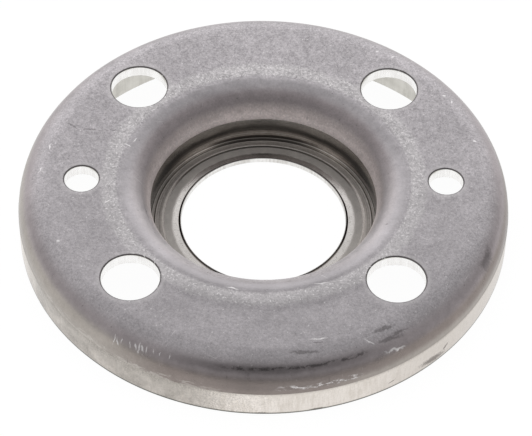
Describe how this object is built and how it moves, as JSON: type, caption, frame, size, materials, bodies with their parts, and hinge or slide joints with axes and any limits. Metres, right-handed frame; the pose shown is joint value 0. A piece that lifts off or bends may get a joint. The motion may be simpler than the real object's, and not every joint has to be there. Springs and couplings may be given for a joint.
{
  "type": "loose flange",
  "caption": "Pressed loose flange for a pipe: a flat ring with a rim bent down outside, a neck drawn down inside to a thin flat lip, and holes for bolts.",
  "frame": {"origin": "centre of the seat under the lip, on the pipe axis", "axes": "+Z along the pipe axis, from the seat towards the face that the bolt heads bear on; X through the two pilot holes"},
  "size_m": [0.115, 0.115, 0.015],
  "materials": {
    "pressed_sheet": "matt mill finish stainless steel, with drawing marks on the bends, fine scratches, and bright cut edges"
  },
  "bodies": {
    "root": {"loose_flange": "pressed_sheet"}
  },
  "joints": []
}
